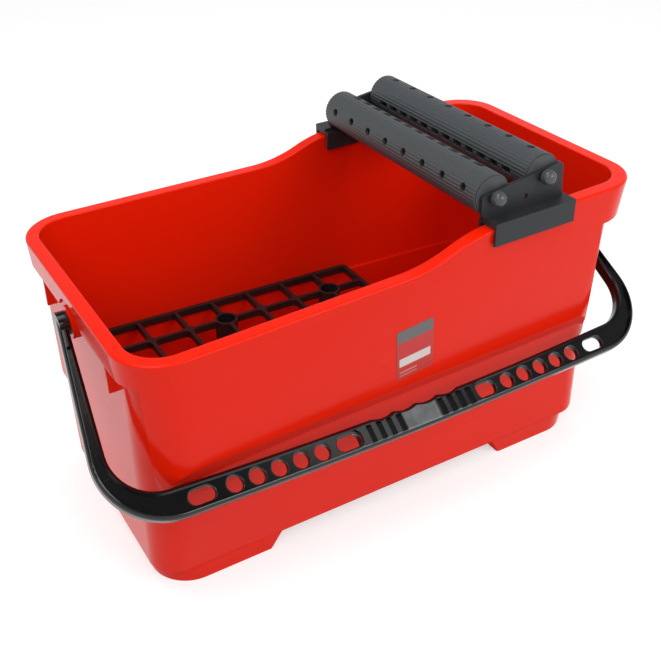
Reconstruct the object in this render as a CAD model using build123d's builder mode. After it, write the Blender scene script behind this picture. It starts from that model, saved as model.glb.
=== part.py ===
from build123d import *
import os
from math import atan2, cos, degrees, hypot, radians, sin

# Grout cleaning bucket in millimetres. +Z is up, +X runs along the tub towards the rollers, and
# the handle hangs on the -Y side. The pieces are drawn around the middle of the tub and written
# with the origin on the floor under the middle of the whole object.

# Tub, outer form. The plan sizes hold at RIM_LEVEL, in the middle of the length.
RIM_LEVEL = 265.0
RIM_HALF_LENGTH = 265.0
RIM_HALF_WIDTH = 141.65
PLAN_TAPER = 0.0296  # half width lost per mm towards the rollers
SIDE_LEAN = 0.08  # half width gained per mm of height
END_LEAN = 0.06  # half length gained per mm of height
RIM_CORNER = 44.0
FORM_BOTTOM = 118.0
FORM_TOP = 325.0
TRIM_TOP = 335.0

# Tub, rim line in side view: low at the washing end, an S-shaped step, high under the rollers.
RIM_SLOPE = 0.0265
STEP_X = -16.0
STEP_Z = 271.1
STEP_RUN = 107.0
STEP_RISE = 23.5
FLANGE = 3.5
SKIRT = 3.0
SKIRT_LOW = (239.0, 262.2)  # lower edge at the washing end and at the roller end
SIDE_REACH = 300.0  # half length of the side view profiles

# Tub, inside. The shoulder carries the grate.
CAVITY_HALF_LENGTH = 252.6
CAVITY_HALF_WIDTH = 128.6
CAVITY_SIDE_LEAN = 0.04
CAVITY_END_LEAN = 0.005
CAVITY_CORNER = 32.0
WALL = 3.0
SHOULDER_LEVEL = 127.5
SHOULDER = 4.0
END_STEP = 3.2  # the end walls step in below STEP_LEVEL
STEP_LEVEL = 119.0

# Tub, base.
BASE_LEVEL = 16.0
BASE_HALF_LENGTH = 251.5
BASE_HALF_WIDTH = 117.5
BASE_CORNER = 26.0
BASE_ROUND = 7.0
FLOOR = 3.0
FOOT_OUTER_X = 245.0
FOOT_INNER_X = 137.0
FOOT_SLOPE = 12.0  # the foot's inner end leans by this much over its height
FOOT_OUTER_LEAN = 2.0
FOOT_SIDE_LEAN = 1.0
FOOT_HALF_WIDTH = 115.5
FOOT_CORNER = 38.0

# Tub, raised panel on each long side.
PANEL_LEVEL = 200.0  # height at which the panel plane is set up
PANEL_FOOT = -48.5  # lower edge, from PANEL_LEVEL
PANEL_HEAD = 104.0  # beyond the rim, where the rim line trims it
PANEL_FOOT_HALVES = (233.0, 231.0)  # at the washing end and at the roller end
PANEL_HEAD_HALVES = (278.0, 215.0)
PANEL_CORNERS = (25.0, 10.0)
PANEL_CORNER_DEEP = 6.0  # from PANEL_WALL inwards
PANEL_DEPTH = 16.0
PANEL_WALL = 6.5  # about where the panel's edge meets the wall
PANEL_PROUD = 3.0
FOOT_SPREAD = 2.8  # how fast the lower edge sinks with depth
FOOT_HALF_SPREAD = 0.55
HEAD_HALF_SPREADS = (-0.8, 0.55)
PANEL_ROUND = 2.5

# Tub, end walls.
RIB_Y = 80.0
RIB_DEPTH = 55.0  # below the rim line at the end
RIB = 3.0
PIVOT_Z = 235.0
BOSS_RADIUS = 15.0
BOSS_X = 265.8
SOCKET_END = 254.6
NOTCH_RADIUS = 33.0  # arched gap in the skirt around the pivot
NOTCH_TOP = 254.0
RIM_ROUND_OUTER = 2.0
RIM_ROUND_INNER = 1.0
SUMP_ROUND = 6.0

# Handle, in its own plane: across the tub and out from the pivot.
HANDLE_DROP = 35.3  # degrees below horizontal at rest
HANDLE = 14.0  # thickness
ARM_INNER = 266.5
ARM_OUTER = 275.0
ARM_START = -4.0
EYE_RADIUS = 11.0
STUD_RADIUS = 6.0
STUD_END = 255.5
RUNNING_GAP = 0.05
BEND_INNER = (283.0, 164.5)
BEND_OUTER = (303.0, 192.0)
BOW_INNER = 173.5  # reach of the bar at mid length
BOW_OUTER = 198.0
BEND_INNER_RADIUS = 40.0
BEND_OUTER_RADIUS = 62.0
HANDLE_ROUND = 4.0
POCKET_START = 64.0  # the recess runs from beside the grip through the bend and up the arm
POCKET_END = 24.0  # reach at which it stops below the eye
POCKET_BORDER = 3.2
POCKET_DEPTH = 4.0
POCKET_CORNER = 7.0
BAR_HOLE_RADIUS = 7.3
BAR_HOLES = [103.5, 124.5, 145.5, 166.5, 187.5]
BAR_SLOTS = [76.5, 217.0]
BAR_SLOT = (24.0, 13.0)
BAR_HOLE_ROUND = 1.2
GRIP_GROOVES = [23.2, 34.0, 44.8, 55.6]
GRIP_GROOVE = 7.4
GRIP_GROOVE_INSET = 4.4
GRIP_GROOVE_DEPTH = 5.5
GRIP_GROOVE_CORNER = 1.2
FINGER_PITCH = 24.4
FINGERS = 4
FINGER_DEPTH = 2.2
FINGER_RADIUS = 28.0
KNUCKLE_ROUND = 3.0

# Grate.
GRATE = 7.5  # rib height
GRATE_RIB = 4.0
GRATE_BORDER = 5.0
GRATE_START = -250.2
GRATE_END = 87.0
GRATE_CELLS = 8
GRATE_ROWS = 6
GRATE_GAP = 1.5
GRATE_CORNER = 29.0
CELL_CORNER = 5.0
HUB_RADIUS = 12.0
HUB_BORE = 9.5
HUB_LENGTH = 40.0

# Wringing unit.
ROLLER_RADIUS = 19.2
ROLLER_BORE = 16.0
ROLLER_HALF = 124.5
FLUTES = 36
FLUTE_RADIUS = 0.8
FRONT_AXIS = (85.2, 318.9)
REAR_AXIS = (140.6, 326.5)
ROUND_HOLES = 8
ROUND_HOLE_RADIUS = 3.7
ROUND_HOLE_PITCH = 30.5
WINDOWS = 12
WINDOW = (12.0, 6.5)
WINDOW_PITCH = 18.0
WINDOW_CORNER = 1.5
WINDOW_TURNS = [98.0, -88.0]
FRONT_ROW_ANGLE = 164.0
REAR_ROW_ANGLE = 86.0
AXLE_RADIUS = 3.0
AXLE_HALF = 136.0
PLUG_DEPTH = 12.0
PLUG_FLANGE_RADIUS = 17.8
PLUG_FLANGE = 1.2
PLUG_HUB_RADIUS = 9.0
CAP_NECK_RADIUS = 5.0
CAP_NECK = 2.6
CAP_RADIUS = 7.0
CAP_DOME = 9.4
CAP_ROUND = 6.4
PRESS_GAP = 0.02
PLUG_END_GAP = 0.3
AXLE_CHAMFER = 0.5

# Brackets.
SADDLE_END = 168.5
SADDLE_START = {"front_bracket": 77.0, "back_bracket": 66.0}
SADDLE = 6.0
SADDLE_GAP = 0.15
INNER_SADDLE = 3.0
LIP_OUTER = (142.2, 144.8)
LIP_INNER = (120.4, 123.4)
LIP_DROP = 16.0
PLATE_Y = (126.0, 129.5)
PLATE_OUTLINE = [(71.0, 321.8), (161.5, 335.8), (165.5, 299.0), (72.0, 296.5)]
PLATE_CORNER = 4.0
PLATE_TOE = 12.0  # lower corner below the front axle
SIGHT_HOLE = (121.0, 311.2)
SIGHT_HOLE_RADIUS = 2.4
TIE_BARS = [102.0, 158.0]
TIE_BAR = (4.0, 8.0)

# Label.
LABEL = (40.0, 56.0)
LABEL_CENTRE = (3.0, -8.0)
LABEL_TURN = 6.0
LABEL_THICKNESS = 0.4
LABEL_CORNER = 2.0

os.makedirs("parts", exist_ok=True)
pieces = {}


def publish(part, name):
    """Keep a finished piece under its name."""
    pieces[name] = part


def plan_outline(level, half_length, half_width, taper, corner):
    """Rounded four-sided outline at a level, narrower towards the rollers."""
    wide = half_width + taper * half_length
    narrow = half_width - taper * half_length
    with BuildSketch(Plane.XY.offset(level)) as outline:
        with BuildLine():
            Polyline(
                (-half_length, -wide),
                (half_length, -narrow),
                (half_length, narrow),
                (-half_length, wide),
                close=True,
            )
        make_face()
        fillet(outline.vertices(), corner)
    return outline.sketch.face()


def outer_outline(level, inset=0.0):
    """Outline of the leaning outer form, as the rim, skirt and side panels show it."""
    rise = level - RIM_LEVEL
    return plan_outline(
        level,
        RIM_HALF_LENGTH + END_LEAN * rise - inset,
        RIM_HALF_WIDTH + SIDE_LEAN * rise - inset,
        PLAN_TAPER,
        RIM_CORNER - inset,
    )


def cavity_outline(level, outset=0.0, end_outset=0.0):
    """Outline of the hollow above the shoulder, or of the wall around it."""
    rise = level - RIM_LEVEL
    return plan_outline(
        level,
        CAVITY_HALF_LENGTH + CAVITY_END_LEAN * rise + outset + end_outset,
        CAVITY_HALF_WIDTH + CAVITY_SIDE_LEAN * rise + outset,
        PLAN_TAPER,
        CAVITY_CORNER + outset,
    )


def rim_region(drop, limit):
    """Side view region between the rim line, lowered by drop, and the level limit."""
    chord = hypot(STEP_RUN, STEP_RISE)
    half_turn = atan2(STEP_RISE, STEP_RUN) - atan2(RIM_SLOPE, 1)
    radius = chord / (4 * sin(half_turn))
    turn = degrees(2 * half_turn)
    start_z = STEP_Z - RIM_SLOPE * (SIDE_REACH + STEP_X)
    with BuildSketch(Plane.XZ) as region:
        with BuildLine():
            low = Line((-SIDE_REACH, start_z - drop), (STEP_X, STEP_Z - drop))
            rising = JernArc(low @ 1, low % 1, radius, turn)
            levelling = JernArc(rising @ 1, rising % 1, radius, -turn)
            high = Line(levelling @ 1, (SIDE_REACH, rim_high(SIDE_REACH) - drop))
            Polyline(high @ 1, (SIDE_REACH, limit), (-SIDE_REACH, limit), low @ 0)
        make_face()
    return region.sketch


def rim_high(x):
    """Height of the rim's straight run under the rollers."""
    return STEP_Z + STEP_RISE + RIM_SLOPE * (x - STEP_X - STEP_RUN)


def rim_at_end(end):
    """Height of the rim at the washing end (-1) or at the roller end (1)."""
    if end > 0:
        return rim_high(RIM_HALF_LENGTH)
    return STEP_Z - RIM_SLOPE * (RIM_HALF_LENGTH + STEP_X)


# Plane of the front panel: it leans out upwards and closes in towards the rollers.
panel_plane = Plane(
    origin=(0, -RIM_HALF_WIDTH - SIDE_LEAN * (PANEL_LEVEL - RIM_LEVEL), PANEL_LEVEL),
    x_dir=(1, PLAN_TAPER, 0),
    z_dir=(PLAN_TAPER, -1, -SIDE_LEAN),
)


def panel_corner(radius, depth):
    """Corner radius of the panel at a depth: round on its face, tighter at the wall."""
    share = min(1.0, (depth + PANEL_PROUD) / (PANEL_WALL + PANEL_PROUD))
    return radius + share * (PANEL_CORNER_DEEP - radius)


def panel_outline(depth):
    """Outline of the raised panel at a depth below its face: it spreads as it goes in."""
    foot = PANEL_FOOT - FOOT_SPREAD * depth
    foot_left, foot_right = [half + FOOT_HALF_SPREAD * depth for half in PANEL_FOOT_HALVES]
    head_left, head_right = [
        half + spread * depth for half, spread in zip(PANEL_HEAD_HALVES, HEAD_HALF_SPREADS)
    ]
    with BuildSketch(panel_plane.offset(-depth)) as outline:
        with BuildLine():
            Polyline(
                (-head_left, PANEL_HEAD),
                (-foot_left, foot),
                (foot_right, foot),
                (head_right, PANEL_HEAD),
                close=True,
            )
        make_face()
        lower_corners = outline.vertices().sort_by(Axis.Y)[:2].sort_by(Axis.X)
        for place, radius in zip(lower_corners, PANEL_CORNERS):
            fillet(place, panel_corner(radius, depth))
    return outline.sketch.face()


with BuildPart() as outer_form:
    loft([outer_outline(FORM_BOTTOM), outer_outline(FORM_TOP)], ruled=True)

with BuildPart() as skirt:
    add(outer_form.part)
    loft(
        [outer_outline(FORM_BOTTOM, SKIRT), outer_outline(FORM_TOP, SKIRT)],
        ruled=True,
        mode=Mode.SUBTRACT,
    )
    with BuildSketch(Plane.XZ):
        with BuildLine():
            low, high = SKIRT_LOW
            end = RIM_HALF_LENGTH
            Polyline((-end, low), (end, high), (end, 0), (-end, 0), close=True)
        make_face()
    extrude(amount=SIDE_REACH, both=True, mode=Mode.SUBTRACT)
    with BuildSketch(Plane.YZ):
        with Locations((0, NOTCH_TOP - NOTCH_RADIUS)):
            Circle(NOTCH_RADIUS)
    extrude(amount=SIDE_REACH, both=True, mode=Mode.SUBTRACT)

with BuildPart() as flange:
    add(outer_form.part)
    extrude(rim_region(FLANGE, 0), amount=SIDE_REACH, both=True, mode=Mode.SUBTRACT)

with BuildPart() as side_panel:
    loft([panel_outline(depth) for depth in (-PANEL_PROUD, PANEL_WALL, PANEL_DEPTH)], ruled=True)
    add(outer_form.part, mode=Mode.INTERSECT)
    front_face = side_panel.faces().sort_by(SortBy.AREA)[-2:].sort_by(Axis.Y)[0]
    fillet(front_face.edges().sort_by(Axis.Z)[0], PANEL_ROUND)


def foot_form(inset, bottom):
    """One foot, or the hollow inside it: a low block whose inner end leans."""
    with BuildPart() as block:
        for level, lean in ((bottom, 0.0), (BASE_LEVEL + FLOOR, 1.0)):
            outer_x = FOOT_OUTER_X + FOOT_OUTER_LEAN * lean - inset
            inner_x = FOOT_INNER_X - FOOT_SLOPE * lean + inset
            half = FOOT_HALF_WIDTH + FOOT_SIDE_LEAN * lean - inset
            with BuildSketch(Plane.XY.offset(level)) as sole:
                with BuildLine():
                    Polyline((inner_x, -half), (outer_x, -half), (outer_x, half), (inner_x, half), close=True)
                make_face()
                fillet(sole.vertices().group_by(Axis.X)[-1], FOOT_CORNER - inset)
                fillet(sole.vertices().group_by(Axis.X)[0], FLOOR)
        loft(ruled=True)
    return block.part


with BuildPart() as sump:
    sump_floor = plan_outline(
        BASE_LEVEL + FLOOR, BASE_HALF_LENGTH - WALL, BASE_HALF_WIDTH - WALL, 0, BASE_CORNER - WALL
    )
    loft([sump_floor, cavity_outline(SHOULDER_LEVEL, -SHOULDER, SHOULDER - END_STEP)], ruled=True)
    fillet(sump.edges().group_by(Axis.Z)[0], SUMP_ROUND)

with BuildPart() as tub:
    base = plan_outline(BASE_LEVEL, BASE_HALF_LENGTH, BASE_HALF_WIDTH, 0, BASE_CORNER)
    loft([base, cavity_outline(STEP_LEVEL, WALL, -END_STEP)], ruled=True)
    fillet(tub.edges().group_by(Axis.Z)[0], BASE_ROUND)
    loft([cavity_outline(STEP_LEVEL, WALL), cavity_outline(FORM_TOP, WALL)], ruled=True)
    add(skirt.part)
    add(flange.part)
    add(side_panel.part)
    add(mirror(side_panel.part, about=Plane.XZ, mode=Mode.PRIVATE))
    right_foot = foot_form(0, 0)
    add(right_foot)
    add(mirror(right_foot, about=Plane.YZ, mode=Mode.PRIVATE))
    for end in (-1, 1):
        rib_bottom = rim_at_end(end) - RIB_DEPTH
        rib_top = rim_at_end(end) - FLANGE
        rib_inner = CAVITY_HALF_LENGTH
        rib_outer = RIM_HALF_LENGTH - SKIRT
        with Locations((end * (rib_inner + rib_outer) / 2, 0, (rib_bottom + rib_top) / 2)):
            with GridLocations(1, 2 * RIB_Y, 1, 2):
                Box(rib_outer - rib_inner, RIB, rib_top - rib_bottom)
        boss_face = Plane(origin=(end * BOSS_X, 0, PIVOT_Z), x_dir=(0, 1, 0), z_dir=(end, 0, 0))
        with BuildSketch(boss_face):
            Circle(BOSS_RADIUS)
        extrude(amount=CAVITY_HALF_LENGTH - BOSS_X)
    extrude(rim_region(0, TRIM_TOP), amount=SIDE_REACH, both=True, mode=Mode.SUBTRACT)
    loft([cavity_outline(SHOULDER_LEVEL), cavity_outline(FORM_TOP)], ruled=True, mode=Mode.SUBTRACT)
    add(sump.part, mode=Mode.SUBTRACT)
    right_well = foot_form(FLOOR, FLOOR)
    add(right_well, mode=Mode.SUBTRACT)
    add(mirror(right_well, about=Plane.YZ, mode=Mode.PRIVATE), mode=Mode.SUBTRACT)
    for end in (-1, 1):
        boss_face = Plane(origin=(end * BOSS_X, 0, PIVOT_Z), x_dir=(0, 1, 0), z_dir=(end, 0, 0))
        with BuildSketch(boss_face):
            Circle(STUD_RADIUS + RUNNING_GAP)
        extrude(amount=SOCKET_END - BOSS_X, mode=Mode.SUBTRACT)
    rim_edge = (-RIM_HALF_LENGTH, 0, rim_at_end(-1))
    fillet(tub.edges().sort_by_distance(rim_edge)[0], RIM_ROUND_OUTER)
    mouth_edge = (-CAVITY_HALF_LENGTH, 0, rim_at_end(-1))
    fillet(tub.edges().sort_by_distance(mouth_edge)[0], RIM_ROUND_INNER)

publish(tub.part, "tub")

with BuildPart() as blank_label:
    with BuildSketch(panel_plane):
        with Locations(Location((*LABEL_CENTRE, 0), (0, 0, LABEL_TURN))):
            RectangleRounded(*LABEL, LABEL_CORNER)
    extrude(amount=LABEL_THICKNESS)

publish(blank_label.part, "blank_label")

# Plane of the handle at rest: local x runs along the bar, and local -y reaches out from the pivot.
handle_plane = Plane(
    origin=(0, 0, PIVOT_Z),
    x_dir=(1, 0, 0),
    z_dir=(0, -sin(radians(HANDLE_DROP)), cos(radians(HANDLE_DROP))),
)


def bar_edges(across):
    """Reach of the bowed bar's inner and outer edge at a place along it."""
    inner = BOW_INNER - (BOW_INNER - BEND_INNER[1]) * (across / BEND_INNER[0]) ** 2
    outer = BOW_OUTER - (BOW_OUTER - BEND_OUTER[1]) * (across / BEND_OUTER[0]) ** 2
    return inner, outer


def bar_middle(across):
    """Reach of the bar's middle line at a place along it."""
    return sum(bar_edges(across)) / 2


def finger_span():
    """How far the finger valleys reach along the bar from its middle."""
    return FINGERS / 2 * FINGER_PITCH


with BuildPart() as handle:
    with BuildSketch(handle_plane.offset(-HANDLE / 2)) as bail:
        with BuildLine():
            inner_x, inner_reach = BEND_INNER
            outer_x, outer_reach = BEND_OUTER
            inner_bow = ThreePointArc((-inner_x, -inner_reach), (0, -BOW_INNER), (inner_x, -inner_reach))
            Polyline(inner_bow @ 1, (ARM_INNER, -ARM_START), (ARM_OUTER, -ARM_START), (outer_x, -outer_reach))
            outer_bow = ThreePointArc((outer_x, -outer_reach), (0, -BOW_OUTER), (-outer_x, -outer_reach))
            Polyline(outer_bow @ 1, (-ARM_OUTER, -ARM_START), (-ARM_INNER, -ARM_START), inner_bow @ 0)
        make_face()
        fillet(bail.vertices().group_by(Axis.Y)[0], BEND_OUTER_RADIUS)
        inner_bends = bail.vertices().filter_by_position(Axis.Y, -inner_reach - 1, -inner_reach + 1)
        fillet(inner_bends, BEND_INNER_RADIUS)
        for finger in range(FINGERS):
            across = (finger - (FINGERS - 1) / 2) * FINGER_PITCH
            valley_reach = bar_edges(across)[0] + FINGER_DEPTH - FINGER_RADIUS
            with Locations((across, -valley_reach)):
                Circle(FINGER_RADIUS, mode=Mode.SUBTRACT)
        knuckles = bail.vertices().filter_by_position(Axis.X, -finger_span(), finger_span())
        fillet(knuckles.filter_by_position(Axis.Y, -BOW_INNER - FINGER_DEPTH, 0), KNUCKLE_ROUND)
        bail_face = bail.face()
    extrude(amount=HANDLE)
    fillet(handle.faces().filter_by(handle_plane).edges(), HANDLE_ROUND)
    for end in (-1, 1):
        eye_face = Plane(origin=(end * ARM_INNER, 0, PIVOT_Z), x_dir=(0, 1, 0), z_dir=(end, 0, 0))
        with BuildSketch(eye_face):
            Circle(EYE_RADIUS)
        extrude(amount=ARM_OUTER - ARM_INNER)
        with BuildSketch(eye_face):
            Circle(STUD_RADIUS)
        extrude(amount=STUD_END - ARM_INNER)
    for face in (-1, 1):
        with BuildSketch(handle_plane.offset(face * HANDLE / 2)) as pockets:
            offset(bail_face, amount=-POCKET_BORDER)
            Rectangle(2 * POCKET_START, 2 * BOW_OUTER, mode=Mode.SUBTRACT)
            Rectangle(2 * BEND_OUTER[0], 2 * POCKET_END, mode=Mode.SUBTRACT)
            grip_ends = pockets.vertices().filter_by_position(Axis.X, -POCKET_START - 1, POCKET_START + 1)
            fillet(grip_ends, POCKET_CORNER)
        extrude(amount=-face * POCKET_DEPTH, mode=Mode.SUBTRACT)
        with BuildSketch(handle_plane.offset(face * HANDLE / 2)):
            for across in GRIP_GROOVES:
                groove_inner, groove_outer = bar_edges(across)
                groove_length = groove_outer - groove_inner - GRIP_GROOVE_INSET - POCKET_BORDER
                groove_reach = groove_inner + GRIP_GROOVE_INSET + groove_length / 2
                with Locations((across, -groove_reach), (-across, -groove_reach)):
                    RectangleRounded(GRIP_GROOVE, groove_length, GRIP_GROOVE_CORNER)
        extrude(amount=-face * GRIP_GROOVE_DEPTH, mode=Mode.SUBTRACT)
    with BuildSketch(handle_plane):
        for across in BAR_HOLES:
            with Locations((across, -bar_middle(across)), (-across, -bar_middle(across))):
                Circle(BAR_HOLE_RADIUS)
        for across in BAR_SLOTS:
            with Locations((across, -bar_middle(across)), (-across, -bar_middle(across))):
                SlotOverall(*BAR_SLOT)
    extrude(amount=HANDLE, both=True, mode=Mode.SUBTRACT)
    holes_each_side = len(BAR_HOLES) + len(BAR_SLOTS)
    flat_faces = handle.faces().filter_by(handle_plane)
    pocket_floors = [face for face in flat_faces if len(face.inner_wires()) == holes_each_side]
    hole_rims = [wire for floor in pocket_floors for wire in floor.inner_wires()]
    fillet([edge for rim in hole_rims for edge in rim.edges()], BAR_HOLE_ROUND)

publish(handle.part, "handle")


def grate_half_width(x):
    """Half width of the grate, which follows the tapering wall."""
    wall = CAVITY_HALF_WIDTH + CAVITY_SIDE_LEAN * (SHOULDER_LEVEL - RIM_LEVEL) - PLAN_TAPER * x
    return wall - GRATE_GAP


cell = (GRATE_END - GRATE_START - GRATE_RIB) / GRATE_CELLS
rib_places = [GRATE_END - GRATE_RIB / 2 - cell * step for step in range(1, GRATE_CELLS)]


def grate_cell(column, row):
    """One opening between the ribs, with rounded corners, counted from the roller end."""
    high_x = GRATE_END - GRATE_RIB - cell * column
    low_x = high_x - cell + GRATE_RIB
    low_share = 2 * row / GRATE_ROWS - 1
    high_share = 2 * (row + 1) / GRATE_ROWS - 1
    with BuildSketch() as opening:
        with BuildLine():
            Polyline(
                (low_x, low_share * grate_half_width(low_x) + GRATE_RIB / 2),
                (high_x, low_share * grate_half_width(high_x) + GRATE_RIB / 2),
                (high_x, high_share * grate_half_width(high_x) - GRATE_RIB / 2),
                (low_x, high_share * grate_half_width(low_x) - GRATE_RIB / 2),
                close=True,
            )
        make_face()
        fillet(opening.vertices(), CELL_CORNER)
    return opening.sketch.face()


def grate_openings(outline):
    """All openings of the grate, kept inside the border of its outline."""
    with BuildSketch() as openings:
        for column in range(GRATE_CELLS):
            for row in range(GRATE_ROWS):
                add(grate_cell(column, row))
        offset(outline, amount=-GRATE_BORDER, mode=Mode.INTERSECT)
    return openings.sketch


with BuildPart() as sediment_grate:
    start_half = grate_half_width(GRATE_START)
    end_half = grate_half_width(GRATE_END)
    with BuildSketch(Plane.XY.offset(SHOULDER_LEVEL)) as lattice:
        with BuildLine():
            Polyline(
                (GRATE_START, -start_half),
                (GRATE_END, -end_half),
                (GRATE_END, end_half),
                (GRATE_START, start_half),
                close=True,
            )
        make_face()
        fillet(lattice.vertices().group_by(Axis.X)[0], GRATE_CORNER)
        fillet(lattice.vertices().group_by(Axis.X)[-1], GRATE_BORDER)
        add(grate_openings(lattice.face()), mode=Mode.SUBTRACT)
    extrude(amount=GRATE)
    hub_places = []
    for place in (rib_places[0], rib_places[3]):
        hub_y = (1 - 2 / GRATE_ROWS) * grate_half_width(place)
        hub_places += [(place, -hub_y), (place, hub_y)]
    with BuildSketch(Plane.XY.offset(SHOULDER_LEVEL + GRATE)):
        with Locations(*hub_places):
            Circle(HUB_RADIUS)
    extrude(amount=-HUB_LENGTH)
    with BuildSketch(Plane.XY.offset(SHOULDER_LEVEL + GRATE)):
        with Locations(*hub_places):
            Circle(HUB_BORE)
    extrude(amount=-HUB_LENGTH, mode=Mode.SUBTRACT)

publish(sediment_grate.part, "sediment_grate")


def roller_tube(axis, row_angle):
    """Fluted tube with a row of round holes and two rows of windows."""
    x, z = axis
    with BuildPart() as tube:
        with BuildSketch(Plane.XZ.offset(-ROLLER_HALF)):
            with Locations((x, z)):
                Circle(ROLLER_RADIUS)
                with PolarLocations(ROLLER_RADIUS + FLUTE_RADIUS / 2, FLUTES):
                    Circle(FLUTE_RADIUS, mode=Mode.SUBTRACT)
                Circle(ROLLER_BORE, mode=Mode.SUBTRACT)
        extrude(amount=2 * ROLLER_HALF)
        with BuildSketch(radial_plane(axis, row_angle)):
            with GridLocations(ROUND_HOLE_PITCH, 1, ROUND_HOLES, 1):
                Circle(ROUND_HOLE_RADIUS)
        extrude(amount=2 * ROLLER_RADIUS, mode=Mode.SUBTRACT)
        for turn in WINDOW_TURNS:
            with BuildSketch(radial_plane(axis, row_angle + turn)):
                with GridLocations(WINDOW_PITCH, 1, WINDOWS, 1):
                    RectangleRounded(*WINDOW, WINDOW_CORNER)
            extrude(amount=2 * ROLLER_RADIUS, mode=Mode.SUBTRACT)
    return tube.part


def radial_plane(axis, angle):
    """Plane through a roller's axis that faces outwards at an angle from +X towards +Z."""
    x, z = axis
    return Plane(
        origin=(x, 0, z),
        x_dir=(0, 1, 0),
        z_dir=(cos(radians(angle)), 0, sin(radians(angle))),
    )


def end_plane(axis, y, side):
    """Plane square to a roller's axis at a distance y from the middle, facing outwards."""
    x, z = axis
    return Plane(origin=(x, side * y, z), x_dir=(1, 0, 0), z_dir=(0, side, 0))


def roller_plug(axis, side):
    """End plug of a roller: spigot in the tube, flange, and hub up to the bracket."""
    with BuildPart() as plug:
        with BuildSketch(end_plane(axis, ROLLER_HALF, side)):
            Circle(ROLLER_BORE - PRESS_GAP)
        extrude(amount=-PLUG_DEPTH)
        with BuildSketch(end_plane(axis, ROLLER_HALF, side)):
            Circle(PLUG_FLANGE_RADIUS)
        extrude(amount=PLUG_FLANGE)
        with BuildSketch(end_plane(axis, ROLLER_HALF, side)):
            Circle(PLUG_HUB_RADIUS)
        extrude(amount=PLATE_Y[0] - ROLLER_HALF - PLUG_END_GAP)
        with BuildSketch(end_plane(axis, PLATE_Y[0], side)):
            Circle(AXLE_RADIUS + RUNNING_GAP)
        extrude(amount=-2 * PLUG_DEPTH - PLUG_FLANGE, mode=Mode.SUBTRACT)
    return plug.part


def axle_rod(axis):
    """Steel rod that a roller turns on."""
    with BuildPart() as rod:
        with BuildSketch(end_plane(axis, AXLE_HALF, 1)):
            Circle(AXLE_RADIUS)
        extrude(amount=-2 * AXLE_HALF)
        chamfer(rod.edges(), AXLE_CHAMFER)
    return rod.part


def axle_cap(axis, side):
    """Domed cap pressed on an axle's end."""
    with BuildPart() as cap:
        with BuildSketch(end_plane(axis, PLATE_Y[1] + CAP_NECK, side)):
            Circle(CAP_RADIUS)
        extrude(amount=CAP_DOME)
        fillet(cap.edges().sort_by(Axis.Y)[::side][-1], CAP_ROUND)
        with BuildSketch(end_plane(axis, PLATE_Y[1], side)):
            Circle(CAP_NECK_RADIUS)
        extrude(amount=CAP_NECK)
        with BuildSketch(end_plane(axis, PLATE_Y[1], side)):
            Circle(AXLE_RADIUS + PRESS_GAP)
        extrude(amount=AXLE_HALF - PLATE_Y[1] + PRESS_GAP, mode=Mode.SUBTRACT)
    return cap.part


# Plane on the rim under the rollers: local x runs along the sloping rim.
saddle_plane = Plane(
    origin=(0, 0, rim_high(0) + SADDLE_GAP),
    x_dir=(1, 0, RIM_SLOPE),
    z_dir=(-RIM_SLOPE, 0, 1),
)


def span(low_x, high_x, low_y, high_y):
    """Rectangle between two corners, for the sketch that calls it."""
    with BuildSketch() as area:
        with Locations(((low_x + high_x) / 2, (low_y + high_y) / 2)):
            Rectangle(high_x - low_x, high_y - low_y)
    return area.sketch


def bracket(saddle_start):
    """Bracket on the far side: saddle over the rim, two lips, and the plate that holds the axles."""
    length = (saddle_start, SADDLE_END)
    with BuildPart() as holder:
        with BuildSketch(saddle_plane):
            add(span(*length, PLATE_Y[0], LIP_OUTER[1]))
        extrude(amount=SADDLE)
        with BuildSketch(saddle_plane):
            add(span(*length, LIP_INNER[0], PLATE_Y[0]))
        extrude(amount=INNER_SADDLE)
        with BuildSketch(saddle_plane):
            add(span(*length, *LIP_INNER))
            add(span(*length, *LIP_OUTER))
        extrude(amount=-LIP_DROP)
        with BuildSketch(Plane.XZ.offset(-PLATE_Y[1])) as plate:
            with BuildLine():
                Polyline(*PLATE_OUTLINE, close=True)
            make_face()
            fillet(plate.vertices().group_by(Axis.Y)[2:], PLATE_CORNER)
            fillet(plate.vertices().sort_by(Axis.Y)[0], PLATE_TOE)
            with Locations(FRONT_AXIS, REAR_AXIS):
                Circle(AXLE_RADIUS + PRESS_GAP, mode=Mode.SUBTRACT)
            with Locations(SIGHT_HOLE):
                Circle(SIGHT_HOLE_RADIUS, mode=Mode.SUBTRACT)
        extrude(amount=PLATE_Y[1] - PLATE_Y[0])
    return holder.part


publish(bracket(SADDLE_START["back_bracket"]), "back_bracket")

with BuildPart() as front_bracket:
    add(mirror(bracket(SADDLE_START["front_bracket"]), about=Plane.XZ, mode=Mode.PRIVATE))

publish(front_bracket.part, "front_bracket")

for name, axis, row_angle in (
    ("front", FRONT_AXIS, FRONT_ROW_ANGLE),
    ("rear", REAR_AXIS, REAR_ROW_ANGLE),
):
    publish(roller_tube(axis, row_angle), f"{name}_roller")
    publish(axle_rod(axis), f"{name}_axle")
    for side, side_name in ((-1, "near"), (1, "far")):
        publish(roller_plug(axis, side), f"{name}_roller_plug_{side_name}")
        publish(axle_cap(axis, side), f"{name}_axle_cap_{side_name}")

for name, place in (("front", TIE_BARS[0]), ("rear", TIE_BARS[1])):
    with BuildPart() as tie_bar:
        with BuildSketch(saddle_plane.offset(INNER_SADDLE)):
            with Locations((place, 0)):
                Rectangle(TIE_BAR[0], 2 * LIP_INNER[0])
        extrude(amount=-TIE_BAR[1])
    publish(tie_bar.part, f"{name}_tie_bar")

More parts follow.
